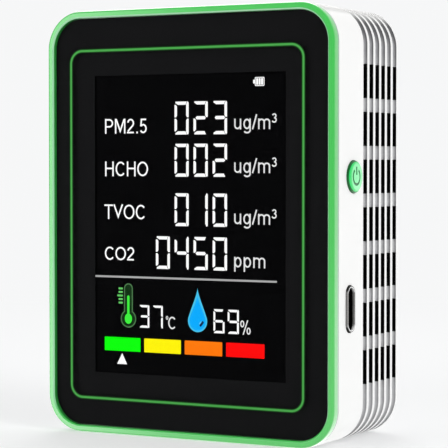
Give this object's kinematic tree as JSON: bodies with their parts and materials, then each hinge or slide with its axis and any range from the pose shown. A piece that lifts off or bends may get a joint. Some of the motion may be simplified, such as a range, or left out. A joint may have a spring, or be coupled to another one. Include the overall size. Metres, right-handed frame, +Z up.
{
  "type": "desktop air quality monitor",
  "caption": "Upright rounded box with a display window in a framed front, grooved and slotted vent sides, a side push button and a side charging port.",
  "frame": {"origin": "middle of the flat underside that the monitor stands on", "axes": "+X to the right seen from the front, +Y from the front to the back, +Z up"},
  "size_m": [0.0661, 0.0306, 0.086],
  "materials": {
    "green_plastic": "moulded green plastic, semi-gloss",
    "smoked_lens": "smoked acrylic, polished",
    "black_print": "black ink on the back of the panel",
    "foam": "black foam tape",
    "lcd_glass": "dark display glass",
    "white_plastic": "white plastic, fine moulded texture",
    "led": "yellowish light-emitting diodes",
    "ribbon": "amber film",
    "cream_plastic": "cream nylon",
    "circuit_board": "green solder mask",
    "steel": "plated steel",
    "chip_plastic": "moulded black epoxy",
    "ceramic_parts": "fired ceramic",
    "black_plastic": "black plastic",
    "grey_plastic": "grey plastic",
    "gold_plate": "gold plating",
    "brass_parts": "turned brass",
    "battery_foil": "laminated foil pouch",
    "wire": "insulated wire",
    "filter_cloth": "white membrane",
    "vent_mesh": "black woven mesh"
  },
  "bodies": {
    "case": {"front_frame": "green_plastic", "front_panel": "smoked_lens", "panel_mask": "black_print", "panel_tape": "foam", "lcd_gasket": "foam", "lcd_glass": "lcd_glass", "lcd_backlight": "white_plastic", "backlight_leds": "led", "lcd_holder": "white_plastic", "lcd_flex": "ribbon", "flex_connector": "cream_plastic", "main_board": "circuit_board", "board_screws": "steel", "board_chips": "chip_plastic", "board_passives": "ceramic_parts", "usb_shell": "steel", "usb_tongue": "black_plastic", "usb_contacts": "gold_plate", "switch_body": "black_plastic", "switch_cover": "steel", "buzzer": "black_plastic", "battery_cell": "battery_foil", "battery_tape": "foam", "battery_socket": "cream_plastic", "battery_plug": "cream_plastic", "battery_leads": "wire", "particle_case": "grey_plastic", "particle_cover": "steel", "particle_board": "circuit_board", "particle_motor": "brass_parts", "particle_optics": "black_plastic", "particle_laser": "brass_parts", "particle_detector": "chip_plastic", "particle_tape": "foam", "particle_socket": "cream_plastic", "particle_plug": "cream_plastic", "particle_leads": "wire", "co2_board": "circuit_board", "co2_chamber": "gold_plate", "co2_filter": "filter_cloth", "co2_pins": "gold_plate", "formaldehyde_base": "black_plastic", "formaldehyde_can": "steel", "voc_sensor": "steel", "climate_board": "circuit_board", "climate_chip": "chip_plastic", "vent_liner": "vent_mesh", "rear_shell": "white_plastic", "case_screws": "steel"},
    "button": {"power_button": "green_plastic"},
    "plunger": {"switch_plunger": "black_plastic"},
    "rotor": {"particle_rotor": "black_plastic"}
  },
  "joints": [
    {"name": "power_button_press", "type": "slide", "parent": "case", "child": "button", "axis": [-1, 0, 0], "range_m": [0, 0.0004]},
    {"name": "switch_plunger_press", "type": "slide", "parent": "case", "child": "plunger", "axis": [-1, 0, 0], "range_m": [0, 0.0004]},
    {"name": "fan_spin", "type": "hinge", "parent": "case", "child": "rotor", "pos_m": [-0.007, 0.00665, 0.0692], "axis": [0, 1, 0], "continuous": true}
  ],
  "couplings": [
    {"joint": "switch_plunger_press", "follows": "power_button_press", "ratio": 1}
  ]
}
